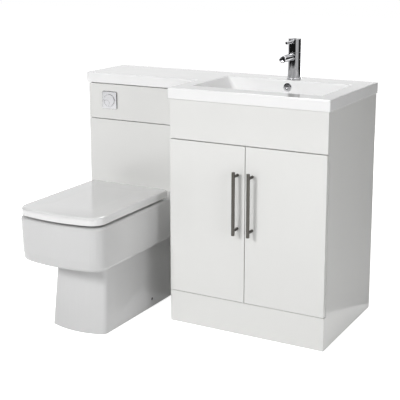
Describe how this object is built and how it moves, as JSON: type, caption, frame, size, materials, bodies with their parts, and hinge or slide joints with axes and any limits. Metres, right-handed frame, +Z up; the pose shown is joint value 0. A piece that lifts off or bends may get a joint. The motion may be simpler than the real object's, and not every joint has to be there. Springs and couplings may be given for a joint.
{
  "type": "toilet and basin combination unit",
  "caption": "Back-to-wall toilet with a concealed cistern beside a basin cabinet, both under one L-shaped cast top with a recessed bowl and a mixer tap.",
  "frame": {"origin": "floor level, at the centre of the footprint of the whole unit", "axes": "+X to the right seen from the room, +Y to the wall behind the unit, +Z up"},
  "size_m": [1.112, 0.8448, 1.02],
  "materials": {
    "gloss_panels": "white gloss lacquer on moulded boards",
    "carcass_boards": "white melamine",
    "cast_top": "polished white cast mineral and resin",
    "pan_ceramic": "white glazed",
    "seat_plastic": "moulded white, glossy",
    "chrome": "polished",
    "handle_steel": "satin, fine lengthwise grain",
    "hinge_steel": "nickel-plated pressed steel",
    "white_plastic": "moulded white",
    "blue_plastic": "moulded blue",
    "grey_plastic": "moulded dark grey",
    "rubber": "moulded",
    "clear_rubber": "soft, pale",
    "brass": "turned",
    "copper": "drawn pipe"
  },
  "bodies": {
    "unit": {"basin_top": "cast_top", "overflow_ring": "chrome", "waste_flange": "chrome", "waste_nut": "brass", "trap_body": "white_plastic", "trap_cup": "white_plastic", "trap_arm": "white_plastic", "tap_base_ring": "chrome", "tap_body": "chrome", "tap_aerator": "chrome", "tap_cartridge": "white_plastic", "tap_fixing": "brass", "tap_tails": "copper", "basin_side_left": "carcass_boards", "basin_side_right": "gloss_panels", "basin_base": "carcass_boards", "basin_rails": "carcass_boards", "plinth": "gloss_panels", "fascia_panel": "gloss_panels", "left_hinge_arms": "hinge_steel", "right_hinge_arms": "hinge_steel", "wc_side_left": "gloss_panels", "wc_side_right": "carcass_boards", "wc_lower_panel": "gloss_panels", "wc_access_panel": "gloss_panels", "wc_rails": "carcass_boards", "flush_plate": "chrome", "button_housing": "grey_plastic", "flush_cable": "grey_plastic", "cistern_tank": "white_plastic", "cistern_lid": "white_plastic", "fill_valve": "white_plastic", "flush_valve_tower": "white_plastic", "flush_pipe": "white_plastic", "flush_pipe_seal": "rubber", "wc_pan": "pan_ceramic", "pan_connector": "white_plastic", "pan_fixings": "hinge_steel", "seat_hinge_posts": "chrome", "seat_hinge_pins": "hinge_steel"},
    "left_door": {"left_door": "gloss_panels", "left_handle_bar": "handle_steel", "left_handle_posts": "handle_steel", "left_hinge_cups": "hinge_steel"},
    "right_door": {"right_door": "gloss_panels", "right_handle_bar": "handle_steel", "right_handle_posts": "handle_steel", "right_hinge_cups": "hinge_steel"},
    "lid": {"toilet_lid": "seat_plastic", "lid_buffers": "clear_rubber"},
    "seat": {"seat_ring": "seat_plastic", "seat_buffers": "clear_rubber"},
    "full_button": {"full_flush_button": "chrome"},
    "half_button": {"half_flush_button": "chrome"},
    "flush_piston": {"flush_valve_piston": "blue_plastic"},
    "float": {"float_cup": "blue_plastic"},
    "plug": {"waste_plug": "chrome"},
    "head": {"tap_head": "chrome", "tap_lever_pin": "hinge_steel"},
    "lever": {"tap_lever": "chrome"}
  },
  "joints": [
    {"name": "left_door_swing", "type": "hinge", "parent": "unit", "child": "left_door", "pos_m": [-0.0421, -0.0465, 0.4], "axis": [0, 0, -1], "range_deg": [0, 90]},
    {"name": "right_door_swing", "type": "hinge", "parent": "unit", "child": "right_door", "pos_m": [0.5421, -0.0465, 0.4], "axis": [0, 0, 1], "range_deg": [0, 90]},
    {"name": "lid_lift", "type": "hinge", "parent": "unit", "child": "lid", "pos_m": [-0.3, 0.0535, 0.444], "axis": [-1, 0, 0], "range_deg": [0, 98]},
    {"name": "seat_lift", "type": "hinge", "parent": "unit", "child": "seat", "pos_m": [-0.3, 0.0535, 0.444], "axis": [-1, 0, 0], "range_deg": [0, 94]},
    {"name": "full_flush_press", "type": "slide", "parent": "unit", "child": "full_button", "axis": [0, 1, 0], "range_m": [0, 0.005], "stiffness_N_per_m": 300, "springref_m": -0.004},
    {"name": "half_flush_press", "type": "slide", "parent": "unit", "child": "half_button", "axis": [0, 1, 0], "range_m": [0, 0.005], "stiffness_N_per_m": 300, "springref_m": -0.004},
    {"name": "flush_valve_lift", "type": "slide", "parent": "unit", "child": "flush_piston", "axis": [0, 0, 1], "range_m": [0, 0.02]},
    {"name": "float_rise", "type": "slide", "parent": "unit", "child": "float", "axis": [0, 0, 1], "range_m": [0, 0.06]},
    {"name": "plug_lift", "type": "slide", "parent": "unit", "child": "plug", "axis": [0, 0, 1], "range_m": [0, 0.009]},
    {"name": "tap_swivel", "type": "hinge", "parent": "unit", "child": "head", "pos_m": [0.246, 0.3665, 0.99], "axis": [0, 0, 1], "range_deg": [-45, 45]},
    {"name": "lever_tilt", "type": "hinge", "parent": "head", "child": "lever", "pos_m": [0.246, 0.3665, 1.01], "axis": [-1, 0, 0], "range_deg": [0, 25]}
  ],
  "couplings": [
    {"joint": "seat_lift", "follows": "lid_lift", "ratio": 0.959},
    {"joint": "flush_valve_lift", "follows": "full_flush_press", "ratio": 4}
  ]
}
